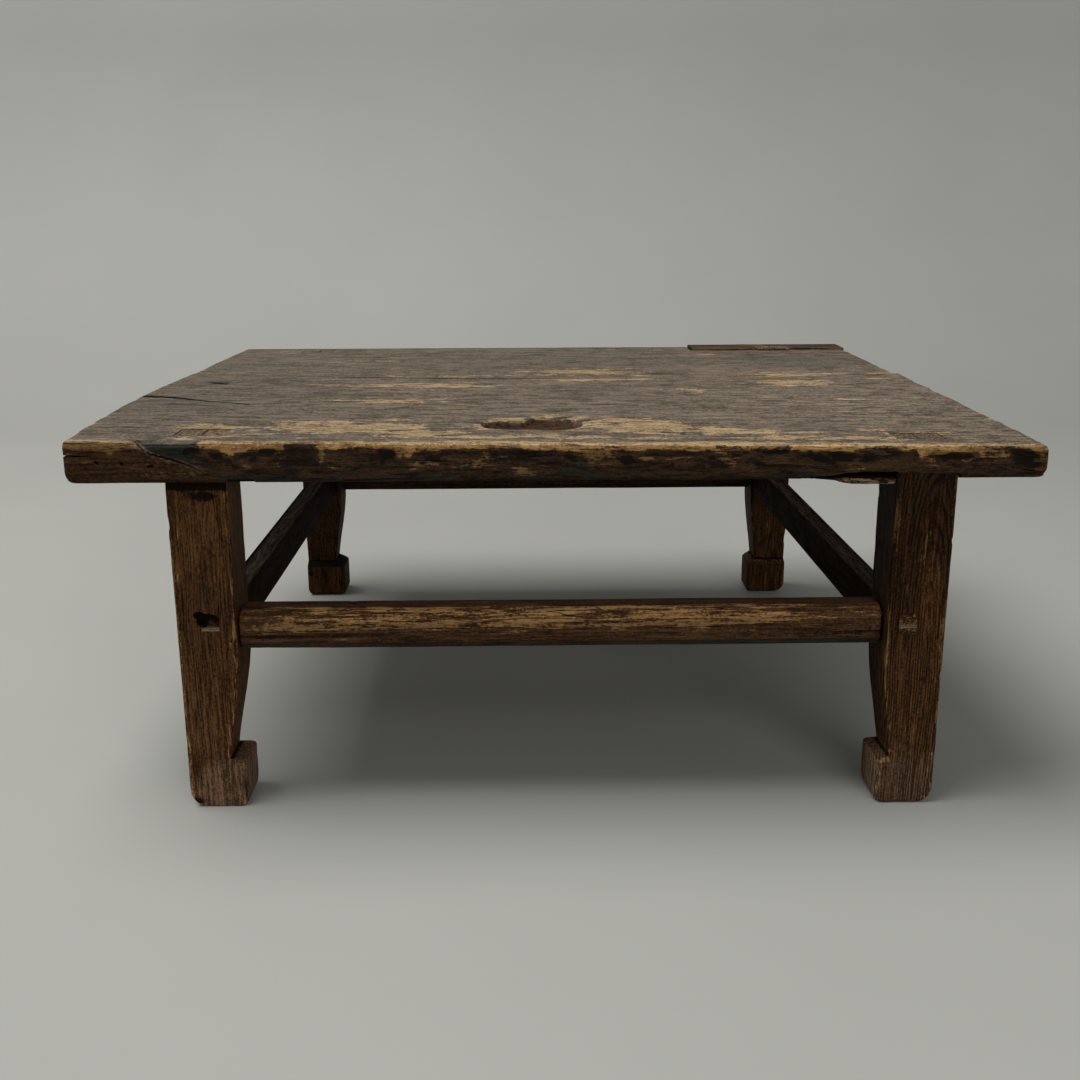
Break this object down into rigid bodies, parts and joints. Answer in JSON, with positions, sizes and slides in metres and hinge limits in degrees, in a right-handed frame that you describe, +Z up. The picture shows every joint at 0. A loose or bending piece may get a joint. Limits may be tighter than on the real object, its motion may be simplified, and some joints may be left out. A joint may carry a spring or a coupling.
{
  "type": "kang table",
  "caption": "Low rustic plank-top kang table with wedged through tenons, stretchers on every side and square legs ending in inturned hoof feet.",
  "frame": {"origin": "on the floor, under the middle of the top's length and depth", "axes": "+X along the length to the right seen from the front, +Y to the back, +Z up"},
  "size_m": [0.8689, 0.75, 0.355],
  "materials": {
    "top_wood": "worn grey-brown patina, ochre where rubbed",
    "frame_wood": "dark brown, worn along the arrises",
    "repair_wood": "reddish brown, matt",
    "wedge_wood": "lighter end grain, matt",
    "hidden_wood": "matt",
    "nail_iron": "rubbed bare on the heads"
  },
  "bodies": {
    "root": {"front_plank": "top_wood", "back_plank": "top_wood", "repair_strip": "repair_wood", "leg_front_left": "frame_wood", "leg_front_right": "frame_wood", "leg_back_left": "frame_wood", "leg_back_right": "frame_wood", "stretcher_front": "frame_wood", "stretcher_back": "frame_wood", "stretcher_left": "frame_wood", "stretcher_right": "frame_wood", "top_wedges": "wedge_wood", "stretcher_wedges": "wedge_wood", "seam_tenons": "hidden_wood", "butterfly_keys": "hidden_wood", "toe_nails": "nail_iron"}
  },
  "joints": []
}
